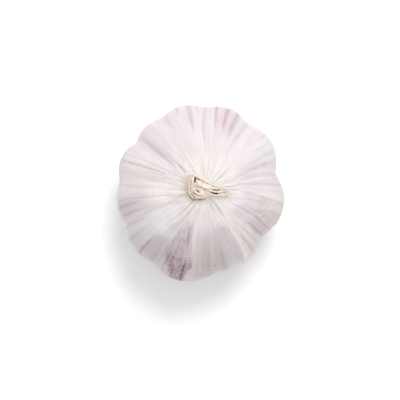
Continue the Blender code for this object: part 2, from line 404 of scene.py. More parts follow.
class Finish:
    """One material. add makes any node, and the short methods after it are for the ones used most."""

    def __init__(self, name, **shader_values):
        self.material = bpy.data.materials.new(name)
        self.material.use_nodes = True
        self.tree = self.material.node_tree
        self.shader = self.tree.nodes["Principled BSDF"]
        for label, value in shader_values.items():
            self.shader.inputs[label.replace("_", " ")].default_value = value

    def add(self, kind, settings, values):
        """Adds a node: its settings first, then its sockets by name or number, as plain values or links."""
        node = self.tree.nodes.new(kind)
        for label, setting in settings.items():
            setattr(node, label, setting)
        for label, value in values.items():
            self.connect(node.inputs[label], value)
        return node

    def connect(self, socket, value):
        """Links a level or a socket to a socket, or sets it to a plain value."""
        source = value.socket if isinstance(value, Level) else value
        if isinstance(source, bpy.types.NodeSocket):
            self.tree.links.new(source, socket)
        else:
            socket.default_value = source

    def level(self, label):
        """A named number of the mesh's points."""
        return Level(self, self.add("ShaderNodeAttribute", {"attribute_name": label}, {}).outputs["Fac"])

    def place(self, label):
        """A named vector of the mesh's points."""
        return self.add("ShaderNodeAttribute", {"attribute_name": label}, {}).outputs["Vector"]

    def object_place(self):
        """The place on the object, in metres."""
        return self.add("ShaderNodeTexCoord", {}, {}).outputs["Object"]

    def scaled(self, place, scale):
        """A place times a number or a vector."""
        scale = (scale,) * 3 if isinstance(scale, (int, float)) else scale
        node = self.add("ShaderNodeVectorMath", {"operation": "MULTIPLY"}, {0: place, 1: scale})
        return node.outputs["Vector"]

    def distance_from(self, place, point):
        """How far a place lies from a point."""
        node = self.add("ShaderNodeVectorMath", {"operation": "DISTANCE"}, {0: place, 1: point})
        return Level(self, node.outputs["Value"])

    def noise(self, place, scale, detail=2.0, roughness=0.5, warp=0.0):
        """Cloudy noise, about 0.5 on average, with features of about one unit of the scaled place."""
        values = {"Scale": 1.0, "Detail": detail, "Roughness": roughness, "Distortion": warp}
        node = self.add("ShaderNodeTexNoise", {}, {"Vector": self.scaled(place, scale), **values})
        return Level(self, node.outputs["Fac"])

    def mix(self, share, first, second):
        """first where share is 0, second where it is 1. Both are colours."""
        settings = {"data_type": "RGBA", "clamp_factor": True}
        return self.add("ShaderNodeMix", settings, {0: share, 6: first, 7: second}).outputs[2]

    def coats(self, colour, *coats):
        """A colour under coats laid on one after another: each is how much it covers, from 0 to 1, and its
        tint."""
        for share, over in coats:
            colour = self.mix(share, colour, over)
        return colour

    def bump(self, height, distance, strength=1.0, under=None):
        """A bump of that many metres, on top of the bump under it."""
        values = {"Height": height, "Distance": distance, "Strength": strength}
        if under is not None:
            values["Normal"] = under
        return self.add("ShaderNodeBump", {}, values).outputs["Normal"]

    def wear(self, **sockets):
        """Feeds the shader's own sockets."""
        for label, value in sockets.items():
            self.connect(self.shader.inputs[label.replace("_", " ")], value)
        return self.material


def tint(red, green, blue):
    """A colour given as 0 to 255 on a screen, as the linear colour that the shader takes."""
    screen = np.array((red, green, blue)) / 255.0
    linear = np.where(screen <= 0.04045, screen / 12.92, ((screen + 0.055) / 1.055) ** 2.4)
    return (*linear.tolist(), 1.0)


# ---- The skin ----


def clove_reach(azimuth):
    """The girth's radius at each azimuth: from a clove's crown it falls to the dip beside it by the share of
    the way, partly as its square, which leaves a crease at the dip, and mostly eased."""
    dips = [clove[2] for clove in CLOVES]
    reach = np.zeros_like(azimuth)
    last_dip, last_reach = dips[-1] - 360.0, CLOVES[-1][3]
    turned = last_dip + (azimuth - last_dip) % 360.0
    for crown, top, dip, dip_reach in CLOVES:
        for end, end_reach, here in (
            (last_dip, last_reach, (turned >= last_dip) & (turned < crown)),
            (dip, dip_reach, (turned >= crown) & (turned < dip)),
        ):
            way = np.clip(np.abs(turned - crown) / abs(end - crown), 0.0, 1.0)
            fall = CREASE_SHARE * way**2 + (1.0 - CREASE_SHARE) * smoothstep(0.0, 1.0, way**CROWN_ROUNDNESS)
            reach += here * (top + (end_reach - top) * fall)
        last_dip, last_reach = dip, dip_reach
    return reach


def skin_base(azimuth):
    """The skin before its relief: a loft through the profile's lobed rings, the neck's foot, its rim and the
    inside of the neck. Returns the rows of rings and each row's place among the rings that it was lofted
    through."""
    out = towards(azimuth)
    lobes = clove_reach(azimuth) - GIRTH_RADIUS
    rings = [
        raised((radius + relief * lobes)[:, None] * out + shift * NECK_CENTRE, height)
        for radius, height, relief, shift, _ in PROFILE
    ]
    rows = [line[4] for line in PROFILE]
    foot, foot_height = neck_loop(NECK_FOOT, azimuth)
    rim, drop = neck_loop(NECK_RIM, azimuth)
    ragged = waves(out * 10.0, 2.2, 5) * 0.5 + waves(out * 10.0, 0.9, 6) * 0.35
    rim_height = cut_height(NECK_CENTRE + rim[:, None] * out) - drop + (0.1 + 0.08 * drop) * ragged
    rise = rim_height - foot_height
    neck = (
        (foot, foot_height, 7),
        (foot + 0.50 * (rim - foot), foot_height + 0.36 * rise, 6),
        (foot + 0.86 * (rim - foot), foot_height + 0.76 * rise, 4),
        (rim + 0.04, rim_height - 0.10, 2),
        (rim - 0.06, rim_height, 2),
        (rim - 0.14, rim_height - 0.2, 2),
        (rim - 0.06, rim_height - 1.2, 2),
        (rim * 0.8, NECK_FLOOR + 0.1, 2),
        (rim * 0.3, NECK_FLOOR, 1),
    )
    for radius, height, count in neck:
        rings.append(raised(NECK_CENTRE + radius[:, None] * out, height))
        rows.append(count)
    places = np.concatenate([number + np.arange(count) / count for number, count in enumerate(rows)])
    return curve_through(np.array(rings), places), places


# Where the cloves' tips lift the skin: azimuth, radius from the axis, height and width of the lump.
TIPS = (
    (226, 14, 0.55, 2.6), (305, 14.4, 0.8, 2.8), (262, 15.5, 0.35, 4), (345, 15, 0.45, 3.6),
    (8, 8.8, 0.5, 2.2), (187, 15, 0.35, 3.4), (152, 15.5, 0.4, 3.6), (125, 15.5, 0.35, 3.6),
    (98, 15.5, 0.4, 3.6), (68, 15.5, 0.4, 3.6), (30, 16, 0.45, 4),
)

# Ridges where a clove's edge pushes the skin out: azimuth, lowest and highest height, lift, and the width of
# the clockwise and of the other side in degrees.
RIDGES = (
    (302, 21, 39, 0.75, 7, 3.5),
    (224, 21, 39.5, 0.45, 3.5, 7),
    (160, 21, 38.5, 0.3, 5, 4),
    (352, 21, 39, 0.3, 5, 4),
)

# Folds pressed into the skin, seen from above: height (below 0 a groove), width, how dark a line of
# painted shade it draws along its groove, and the path.
FOLDS = (
    (0.3, 0.4, 0, ((2.6, -4.2), (3.3, -5.2), (4.4, -6.6), (5.7, -8.5), (7, -11))),
    (-0.35, 0.3, 0.1, ((3.1, -4), (4.9, -6.1), (6.5, -8.4), (8, -10.8))),
    (-0.55, 0.32, 0.2, ((-7.6, 7.8), (-6.3, 6.3), (-5, 4.7))),
    (0.3, 0.35, 0, ((-8.6, 7), (-6.9, 5.2), (-5.6, 3.6))),
    (-0.25, 0.35, 0, ((-21, 17.5), (-13, 10.6), (-6, 4.2))),
    (-0.22, 0.3, 0, ((-27.5, 9.8), (-16, 6.3), (-7.4, 3.3))),
    (-0.16, 0.35, 0, ((9.2, 3.9), (10.7, 2.2), (11.4, 0.6))),
    (-0.18, 0.3, 0, ((5.2, 3.6), (8.4, 8.4), (9.4, 14))),
    (-0.3, 0.3, 0, ((-6.3, -7.4), (-5.4, -6), (-4.4, -4.6))),
    (-0.22, 0.28, 0, ((-9.2, -4.6), (-7.2, -3.4), (-5.4, -2.6))),
    (-0.18, 0.35, 0.35, ((10.9, 1.1), (13.5, 1.3), (16.5, 1.5), (22.3, 2.1))),
    (-0.08, 0.35, 0.15, ((12, 0.3), (17, 0), (21.4, -0.5))),
    (-0.14, 0.35, 0.3, ((12.7, -1.4), (17.1, -1.8), (19.8, -2.6), (23.9, -3.6), (28.8, -4.4))),
    (-0.06, 0.3, 0.45, ((14.8, -8.4), (15.5, -8), (16.2, -7.6))),
    (-0.05, 0.3, 0.25, ((17.7, -8.2), (18.4, -7.6), (19.2, -7.1))),
    (-0.1, 0.3, 0.5, ((17.3, -8.5), (19.2, -9.8), (21.2, -11))),
    (-0.08, 0.3, 0.25, ((19.4, -7.1), (21.6, -8.5), (24, -9.9))),
    (-0.08, 0.3, 0.35, ((20.9, -11.7), (22.5, -12.4), (24.1, -13.2), (25.4, -14))),
    (-0.1, 0.35, 0.3, ((13.7, -12.2), (16.3, -14.9), (19.7, -17.4), (20.8, -18.4))),
    (-0.1, 0.35, 0.4, ((12.8, -14.6), (15.4, -17.3), (17.6, -19.7), (18.6, -21))),
    (-0.08, 0.35, 0.3, ((9.2, -13.7), (11.2, -16.6), (13, -19.7), (14.3, -22.5))),
    (-0.08, 0.3, 0.45, ((15.6, -10.6), (16.7, -11.6), (18.9, -13.2), (21.5, -15), (22.8, -15.9))),
)
FOLD_SHARPNESS = 1.4
FOLD_LINE_WIDTH = 0.24

# A short brown tear in the right-hand clove's edge, and a brown speck low on the nearest clove.
TEAR = ((16.9, -11.8), (17.9, -12.5), (18.4, -12.8))
TEAR_WIDTH = 0.2
SPECK = (4.6, -25.7)
SPECK_RADIUS = 0.4

# What is placed in plan shows only above this height, and what belongs to the neck only above the next.
UPPER_SIDE = 20.0
NEAR_NECK = 30.0

# Marks at random azimuths: how many, the seed, and the smallest and largest half width, lowest height, length
# up the skin, and strength.
PLEATS = (120, 21, (0.6, 2.4), (-10.0, 34.0), (8.0, 34.0), (0.04, 0.13))
GATHERS = (130, 22, (0.9, 2.4), (39.5, 42.5), (1.2, 4.0), (0.08, 0.28))
FAINT_VEINS = (110, 41, (0.4, 1.1), (-8.0, 36.0), (8.0, 34.0), (0.05, 0.28))

VALLEY_WIDTH = 6.0  # degrees, of the hollow between two cloves
FLAP_LIFT = 0.16  # how far the stained leaf's edge stands up
FLAP = (236.0, 250.0, 262.0, 263.0)  # the azimuths over which it does

# Soft oval patches of the skin: azimuth, half width in degrees, height and half height.
WRINKLES_RIGHT = (338.0, 15.0, 32.0, 6.0)
WRINKLES_LEFT = (175.0, 35.0, 41.0, 2.0)
CREASES_RIGHT = (338.0, 17.0, 32.0, 6.5)
CREASES_LEFT = (178.0, 32.0, 39.5, 3.0)
FLAKE = (252.5, 3.0, 17.0, 1.8)
TAN_PATCH = (340.0, 20.0, 27.0, 8.0)

# Round the neck, as azimuth and half width: where the skin shows no strands, and where its tan collar and the
# torn fringe under its rim, with painted shade from the rim, are strongest.
BARE_FRONT = (266.0, 26.0)
COLLAR = (185.0, 60.0)
FRINGE_AND_RIM_SHADE = (238.0, 38.0)

# The veins and dry streaks that stand out in the skin: azimuth, half width, lowest and highest height, and
# strength.
VEINS = (
    (5, 1.1, 6, 40, 0.45), (9, 0.7, 6, 38, 0.35), (13, 1.1, 6, 37.5, 0.45), (23, 1.3, 6, 36.5, 0.4),
    (29, 0.8, 6, 34, 0.3), (36, 1, 6, 35.5, 0.4), (41, 1.3, 6, 30, 0.45), (48, 0.9, 6, 34, 0.3),
    (56, 1.5, 6, 37.5, 0.6), (64, 1.5, 6, 36.5, 0.9), (71, 1.6, 6, 36, 1), (79, 1, 6, 35, 0.8),
    (88, 0.7, 10, 42.5, 0.6), (93, 0.9, 6, 30, 0.6), (99, 1.5, 6, 37, 0.6), (107, 1.2, 6, 30.5, 0.55),
    (115, 0.8, 6, 34, 0.45), (127, 1.5, 32, 39.5, 0.25), (138, 1.7, 26, 40, 0.35),
    (150, 0.8, 10, 34.5, 0.4), (158, 1, 6, 40.5, 0.5), (166, 0.8, 6, 38.5, 0.25), (176, 0.7, 6, 37, 0.35),
    (188, 0.7, 20, 42, 0.35), (191, 1.5, 4, 35, 0.8), (197, 1.2, 4, 33.5, 0.5), (203, 0.6, 33, 43, 0.3),
    (206, 1, 4, 36, 0.6), (214, 0.7, 4, 35, 0.35), (225, 1.2, 4, 33.5, 0.9), (234, 1, 4, 32, 0.7),
    (244, 0.45, 18, 33.5, 1), (247.5, 0.5, 22, 38, 0.35), (250.7, 0.4, 14, 30, 1),
    (257.3, 0.5, 13, 33, 1.3), (271, 0.8, 8, 38.5, 0.35), (276, 0.8, 8, 37.5, 0.35),
    (288, 1, 6, 36.5, 0.55), (302, 0.7, 6, 39, 0.6), (310, 0.8, 6, 36, 0.5), (317, 0.6, 6, 37.5, 0.5),
    (323.5, 0.6, 10, 33.5, 0.6), (332, 0.7, 6, 32, 0.35), (341, 0.7, 8, 33, 0.3), (351, 0.9, 6, 40, 0.4),
)

# The dark vein at the top of the stain follows a line of its own, seen from above.
STAIN_VEIN_WIDTH = 0.14
STAIN_VEIN_STRENGTH = 0.9
STAIN_VEIN = ((-3.85, -12.8), (-4.2, -16.5), (-4.5, -20.3), (-4.9, -21.8))

# Pink and mauve washes, in the same form as the veins.
BLUSHES = (
    (72, 8, 4, 37, 1), (98, 4, 6, 36, 0.7), (88, 2, 10, 38, 0.5), (62, 3, 6, 34, 0.7), (42, 5, 6, 30, 0.4),
    (138, 8, 8, 39.5, 0.45), (160, 4, 6, 38.5, 0.35), (191, 7, 4, 37, 0.6), (222, 6, 6, 33, 0.35),
    (330, 9, 8, 35, 0.25), (10, 6, 8, 36, 0.4), (287, 6, 6, 35, 0.25), (258, 4, 28, 38, 0.5),
)

# Where the skin is duller and greyer, in the same form: partly its own grey, partly painted shade.
DULL_AND_SHADE_PATCHES = (
    (216, 7, 4, 32, 0.5), (250, 14, 4, 34, 0.3), (240, 4, 30, 36, 0.45), (285, 6, 22, 36.5, 0.65),
    (273, 8, 21, 39, 0.7), (318, 10, 4, 31, 0.3), (343, 12, 4, 33, 0.35), (195, 9, 4, 30, 0.35),
    (5, 9, 4, 30, 0.3),
)

# Where it is whiter, in the same form: painted light, partly whiter skin.
FAIR_AND_LIT_PATCHES = (
    (162, 13, 26, 37.5, 0.65), (186, 18, 37, 42.6, 1), (190, 30, 41, 44, 0.6), (224, 14, 37, 40, 0.9),
    (306, 4, 38.6, 40.5, 0.7), (199, 14, 8, 24, 0.9), (329, 4, 36, 40, 0.8), (348, 7, 26, 34, 0.6),
    (252, 42, 42, 45, 1), (258, 4, 37, 38.5, 0.5),
)

# The purple stain, as heights and a value at each: the azimuths of its left and right edges, and how strong
# it is. In a patch near its top, from one azimuth to another and between those heights, it is clearer.
STAIN_LEFT = (
    (18, 25, 28, 30, 33, 36.5, 39.8, 42),
    (251, 249, 247.5, 245, 242, 242, 244.5, 248),
)
STAIN_RIGHT = (
    (18, 27, 30, 31.2, 33, 36.5, 41),
    (258, 259.5, 260.5, 263.3, 263, 261.5, 259.5),
)
STAIN_STRENGTH = (
    (2, 10, 32.5, 35, 36.5, 38, 40, 41, 41.6),
    (0, 1, 1, 0.65, 0.6, 0.65, 0.5, 0.35, 0),
)
STAIN_CLEARING = 0.35
CLEARING_AZIMUTHS = (251.0, 257.0)
CLEARING_HEIGHTS = (33.0, 35.0, 37.5, 39.0)

# Smaller dull spots round the shoulder, greyer skin and painted shade below the tips' lumps: x, y,
# width and strength.
DULL_AND_SHADE_SPOTS = (
    (7.2, -13.8, 0.9, 0.3), (5.8, -14.6, 1, 0.2), (-9.5, -13.5, 2.2, 0.3), (-6.4, -9.6, 1, 0.4),
    (1.6, -9.8, 1.4, 0.35), (4, -10.4, 1.2, 0.35),
)

# Shade beside a clove's edge: the edge's azimuth, how far the shade spreads from it, below 0 clockwise, its
# lowest and highest height, and its strength.
EDGE_SHADES = (
    (302, -17, 24, 39.3, 0.35),
    (224, 17, 4, 36.5, 0.55),
    (160, -9, 20, 38, 0.25),
)


def turn_from_line(azimuth, height, bearing, sway=0.5):
    """The turn to each azimuth from a line that runs up the skin at a bearing and sways like a sine as it
    climbs, at each height."""
    line = bearing + sway * np.sin(height / 5.0 + bearing)
    return turn_from(azimuth, line[:, None])


def meridian_marks(azimuth, height, marks, fade, sharpness, sway=0.5):
    """The sum of marks that run up the skin. Each is its strength, times a window from its lowest to its
    highest height, times exp(-(distance / half width)^sharpness) across, and sways a little as it climbs."""
    total = np.zeros((len(height), len(azimuth)))
    for bearing, width, low, high, strength in marks:
        across = bell(turn_from_line(azimuth, height, bearing, sway), width, sharpness)
        shows = window(low - fade, low + fade, high - fade, high + fade, height)
        total += strength * shows[:, None] * across
    return total


def random_marks(count, seed, width, low, length, strength):
    """Marks for meridian_marks at random azimuths, each of their values picked between a pair of ends."""
    random = np.random.default_rng(seed)
    start = random.uniform(*low, count)
    sign = random.choice((-1.0, 1.0), count)
    return together(
        random.uniform(0.0, 360.0, count),
        random.uniform(*width, count),
        start,
        start + random.uniform(*length, count),
        random.uniform(*strength, count) * sign,
    )


def skin_relief(rings, azimuth, height, fibre):
    """How far the skin stands proud of its base, in millimetres: valleys between the cloves, ridges and lumps
    where their edges and tips press it out, pleats up it, gathers at the neck, and a slight crumple."""
    plan = rings[..., :2]
    shoulder = window(1.0, 6.0, 38.0, 43.0, height)[:, None]
    relief = np.zeros(rings.shape[:2])
    for number, clove in enumerate(CLOVES):
        dip = clove[2] + 1.5 * np.sin(height / 6.0 + number)
        depth = 0.20 + 0.10 * math.sin(number * 2.4)
        relief -= depth * bell(turn_from(azimuth, dip[:, None]), VALLEY_WIDTH) * shoulder
    for bearing, radius, lift, width in TIPS:
        from_tip = np.linalg.norm(plan - radius * towards(bearing), axis=-1)
        relief += lift * bell(from_tip, width) * (height > UPPER_SIDE)[:, None]
    for bearing, low, high, lift, clockwise, other in RIDGES:
        turned = turn_from(azimuth, bearing)
        across = bell(turned, np.where(turned < 0, clockwise, other))
        relief += lift * across * window(low, low + 8, high - 3, high + 1, height)[:, None]
    relief += meridian_marks(azimuth, height, random_marks(*PLEATS), 4.0, 1.25, 1.5)
    relief += meridian_marks(azimuth, height, random_marks(*GATHERS), 0.8, 1.2, 0.0)
    relief += 0.05 * waves(fibre * (30.0, 30.0, 6.0), 4.0, 33) * shoulder
    relief += 0.05 * waves(rings, 9.0, 34)
    relief += 0.020 * waves(rings, 2.6, 35)
    crosswise = waves(fibre * (7.0, 7.0, 30.0), 2.0, 36)
    wrinkled = 0.08 * patch(azimuth, height, *WRINKLES_RIGHT) + 0.07 * patch(azimuth, height, *WRINKLES_LEFT)
    relief += wrinkled * crosswise
    relief += FLAP_LIFT * window(*FLAP, azimuth) * shoulder
    return relief


def skin_folds(plan, height):
    """The folds' relief in millimetres, lift * exp(-(distance / width)^sharpness), which eases out towards
    a fold's end, and the painted shade lines they draw, from 0 to 1, of the same form but narrower and eased
    at both ends."""
    relief = np.zeros(plan.shape[:2])
    lines = np.zeros(plan.shape[:2])
    upper = (height > UPPER_SIDE)[:, None]
    for lift, width, darkness, path in FOLDS:
        distance, share = distance_to_path(plan, path)
        relief += lift * smoothstep(1.0, 0.75, share) * upper * bell(distance, width, FOLD_SHARPNESS)
        ends = window(0.0, 0.2, 0.9, 1.0, share)
        lines += darkness * ends * upper * bell(distance, FOLD_LINE_WIDTH, FOLD_SHARPNESS)
    return relief, np.clip(lines, 0.0, 1.0)


def edge_shades(azimuth, height):
    """The sum of EDGE_SHADES: each starts sharply at its edge, times exp(-(distance / spread)^3)."""
    total = np.zeros((len(height), len(azimuth)))
    for bearing, spread, low, high, strength in EDGE_SHADES:
        away = turn_from_line(azimuth, height, bearing) * np.sign(spread)
        shows = window(low - 4.0, low + 8.0, high - 1.0, high + 0.5, height)
        total += strength * shows[:, None] * smoothstep(-0.4, 1.0, away) * bell(away, spread, 3.0)
    return total


def skin_stain(plan, height):
    """The purple stain, from 0 to 1: between a soft left edge and a sharp right one that bulges half way up,
    with a fainter part near its top. Its edges are bearings from the bulb's axis."""
    bearing = np.degrees(np.arctan2(plan[..., 1], plan[..., 0])) % 360.0
    left, right, strength = (
        np.interp(height, *line)[:, None] for line in (STAIN_LEFT, STAIN_RIGHT, STAIN_STRENGTH)
    )
    across = window(left - 4.0, left + 4.0, right - 1.0, right + 1.0, bearing)
    clear = smoothstep(*CLEARING_AZIMUTHS, bearing) * window(*CLEARING_HEIGHTS, height)[:, None]
    return across * strength * (1.0 - STAIN_CLEARING * clear)


def make_skin():
    """The skin over the cloves: its base, moved along its normals by the relief, which fades out inside the
    neck. The named values place the marks that its finish draws."""
    azimuth = all_round(SKIN_COLUMNS)
    rings, places = skin_base(azimuth)
    height = rings[..., 2].mean(axis=1)
    climb = running_total(np.linalg.norm(np.diff(rings, axis=0), axis=-1).mean(axis=1))
    out = np.broadcast_to(towards(azimuth), (*rings.shape[:2], 2))
    fibre = raised(out, climb[:, None] / GIRTH_RADIUS)
    rim_place = len(PROFILE) + 3
    outside = smoothstep(rim_place + 0.6, rim_place - 0.2, places)[:, None]
    fold_relief, fold_shade_lines = skin_folds(rings[..., :2], height)
    relief = (skin_relief(rings, azimuth, height, fibre) + fold_relief) * outside
    rings = rings + relief[..., None] * grid_normals(rings)

    plan = rings[..., :2]
    upper = (height > UPPER_SIDE)[:, None]
    near_neck = (height > NEAR_NECK)[:, None]
    veins = (VEINS, random_marks(*FAINT_VEINS))
    vein = sum(np.abs(meridian_marks(azimuth, height, marks, 2.5, 1.3)) for marks in veins)
    from_stain_vein, _ = distance_to_path(plan, STAIN_VEIN)
    vein += STAIN_VEIN_STRENGTH * bell(from_stain_vein, STAIN_VEIN_WIDTH, FOLD_SHARPNESS) * upper
    rim, _ = neck_loop(NECK_RIM, azimuth)
    from_centre = np.linalg.norm(plan - NECK_CENTRE, axis=-1)
    from_rim = np.maximum(from_centre - rim, 0.0)
    # Greyer skin and painted shade in one value: the dull patches, the painted shade beside the cloves'
    # edges, and the dull spots.
    dull_and_shade = meridian_marks(azimuth, height, DULL_AND_SHADE_PATCHES, 4.0, 2.0) + edge_shades(azimuth, height)
    for x, y, width, strength in DULL_AND_SHADE_SPOTS:
        dull_and_shade += strength * bell(np.linalg.norm(plan - (x, y), axis=-1), width) * near_neck
    creased = patch(azimuth, height, *CREASES_RIGHT) + 0.4 * patch(azimuth, height, *CREASES_LEFT)
    bare, collar, fringe_and_rim_shade = (bell(turn_from(azimuth, at), width) for at, width in (BARE_FRONT, COLLAR, FRINGE_AND_RIM_SHADE))
    blush = meridian_marks(azimuth, height, BLUSHES, 4.0, 2.0)
    # Painted light, partly whiter skin.
    fair_and_painted_light = meridian_marks(azimuth, height, FAIR_AND_LIT_PATCHES, 2.0, 2.0)
    inside = smoothstep(rim_place + 1.2, rim_place + 2.2, places)[:, None]
    stack = {
        "rings": rings,
        "fibre": fibre,
        "vein": np.clip(vein, 0.0, 1.0) * smoothstep(44.5, 42.0, height)[:, None],
        "stain": skin_stain(plan, height),
        "blush": np.clip(blush, 0.0, 1.0),
        "dull_and_shade": np.clip(dull_and_shade, 0.0, 1.0),
        "fair_and_painted_light": np.clip(fair_and_painted_light, 0.0, 1.0),
        "flake": patch(azimuth, height, *FLAKE),
        "creased": creased,
        # Painted shade along the folds' grooves.
        "line": fold_shade_lines,
        "tear": bell(distance_to_path(plan, TEAR)[0], TEAR_WIDTH) * upper,
        "tan": patch(azimuth, height, *TAN_PATCH),
        "collar": bell(from_rim, 2.0) * near_neck * (0.3 + 0.7 * collar),
        "pale": smoothstep(15.0, 8.0, from_centre) * near_neck,
        "strands": smoothstep(13.0, 6.0, from_centre) * near_neck * (1.0 - 0.85 * bare),
        # The torn fringe below the rim, with painted shade under the neck's rim.
        "fringe_and_rim_shade": bell(from_rim, 0.7) * near_neck * fringe_and_rim_shade,
        "inside": np.broadcast_to(inside, rings.shape[:2]),
    }
    from_speck = np.linalg.norm(plan - SPECK, axis=-1) + 100.0 * (rings[..., 2] < UPPER_SIDE)
    speck_place = rings.reshape(-1, 3)[from_speck.argmin()]
    skin_finish = papery_skin_finish(speck_place)
    add_piece("papery_skin", [stack], skin_finish, ("bulb", "wrapper_leaf"))


def papery_skin_finish(speck_place):
    """Satin white paper with long fibres that gather at the neck, mauve veins, a pink blush and a purple
    stain. Painted shade lines its folds and creases, and is mixed into its dull patches, the torn fringe
    under the neck's rim and the brown skin inside the neck; painted light is mixed into its fair patches."""
    finish = Finish(
        "papery skin",
        Subsurface_Weight=0.22,
        Subsurface_Radius=(1.0, 0.72, 0.6),
        Subsurface_Scale=0.0025,
        Specular_IOR_Level=0.42,
        Sheen_Weight=0.06,
    )
    fibre = finish.place("fibre")
    where = finish.object_place()
    stain, blush, tan, vein_line = (finish.level(label) for label in ("stain", "blush", "tan", "vein"))
    broad = finish.noise(fibre, (4, 4, 0.8), 2.0)
    medium = finish.noise(fibre, (20, 20, 1.6), 4.0, 0.6)
    fine = finish.noise(fibre, (70, 70, 4.0), 4.0, 0.6)
    hair = finish.noise(fibre, (190, 190, 7.0), 2.0, 0.5)
    hatch = finish.noise(fibre, (16, 16, 1.0), 2.0)
    strands = finish.noise(fibre, (11, 11, 0.7), 3.0, 0.55).ramp(0.52, 0.66)
    cloud = finish.noise(where, 130.0, 3.0)
    mottle = finish.noise(where, 420.0, 4.0, 0.65, 0.6)
    specks = finish.noise(where, 1000.0, 3.0, 0.65, 0.4)
    vein = vein_line * (0.45 + fine * 0.9) * mottle.ramp(0.15, 0.6)
    grain = specks * 0.45 + mottle * 0.3 + fine * 0.25
    fringe_and_rim_shade = (finish.level("fringe_and_rim_shade") + hatch * 0.9 - 0.45).ramp(0.25, 0.8)
    speck = finish.distance_from(where, speck_place * MM).ramp(SPECK_RADIUS * MM, SPECK_RADIUS * MM * 0.5)
    crossing = finish.noise(fibre, (6, 6, 20), 1.0, 0.4) - 0.5
    crease = (crossing * crossing).ramp(0.0012, 0.0) * finish.level("creased")
    colour = finish.coats(
        tint(214, 207, 208),
        ((medium * 0.6 + fine * 0.4).ramp(0.36, 0.64), tint(205, 197, 199)),
        (broad.ramp(0.50, 0.68) * (0.6 - tan * 0.6), tint(202, 203, 209)),
        (tan * (medium * 0.6 + 0.3), tint(204, 192, 188)),
        (cloud.ramp(0.50, 0.70) * 0.35, tint(206, 198, 193)),
        # Greyer skin, partly painted shade on the cloves' sides away from the key lamp.
        (finish.level("dull_and_shade") * (0.55 + medium * 0.6), tint(177, 164, 163)),
        # Painted light, partly whiter skin.
        (finish.level("fair_and_painted_light") * (0.35 + medium * 0.5), tint(236, 230, 228)),
        (blush * (medium * 0.8 + 0.35).ramp(0.35, 1.0) * 0.75, tint(200, 178, 189)),
        (finish.level("pale") * (0.5 + fine * 0.5), tint(218, 213, 210)),
        (strands * finish.level("strands") * (0.25 + fine * 0.6), tint(176, 160, 146)),
        (vein * 0.7, finish.mix(blush, tint(142, 122, 126), tint(146, 108, 130))),
        (finish.level("collar") * (fine * 0.6 + 0.3), tint(222, 206, 180)),
        (stain * (0.62 + grain * 0.8).ramp(0.75, 1.15) * 0.88, tint(157, 129, 144)),
        (stain * grain.ramp(0.46, 0.60) * 0.38, tint(120, 88, 108)),
        (vein_line * stain * specks.ramp(0.25, 0.5) * 0.9, tint(84, 54, 70)),
        # Torn fringe under the neck's rim, partly painted shade.
        (fringe_and_rim_shade * 0.75, tint(164, 124, 86)),
        (finish.level("flake") * mottle.ramp(0.40, 0.55) * 0.5, tint(180, 144, 116)),
        # Painted shade along the folds' grooves.
        (finish.level("line") * (0.5 + mottle * 0.6), tint(128, 106, 104)),
        (finish.level("tear") * mottle.ramp(0.3, 0.6) * 0.7, tint(156, 100, 80)),
        (speck, tint(76, 52, 44)),
        # Brown skin inside the neck: partly dried colour, partly painted shade in the gap by the sheaths.
        (finish.level("inside"), tint(128, 98, 70)),
        # Painted shade along the crease lines of the wrinkled patches.
        (crease * 0.08, tint(150, 126, 120)),
    )
    bumps = finish.bump(cloud, 0.0004, 0.25)
    bumps = finish.bump(1.0 - crease, 0.00015, 0.8, bumps)
    bumps = finish.bump(medium * 0.65 + fine * 0.28 + hair * 0.07 - vein * 0.3, 0.00045, 0.7, bumps)
    return finish.wear(Base_Color=colour, Roughness=0.44 + cloud * 0.14 + stain * 0.1, Normal=bumps)


# ---- The cut neck ----

# How light spreads inside a thin dry leaf.
LEAF_GLOW = {"Subsurface_Weight": 0.2, "Subsurface_Radius": (1.0, 0.7, 0.45), "Subsurface_Scale": 0.001}


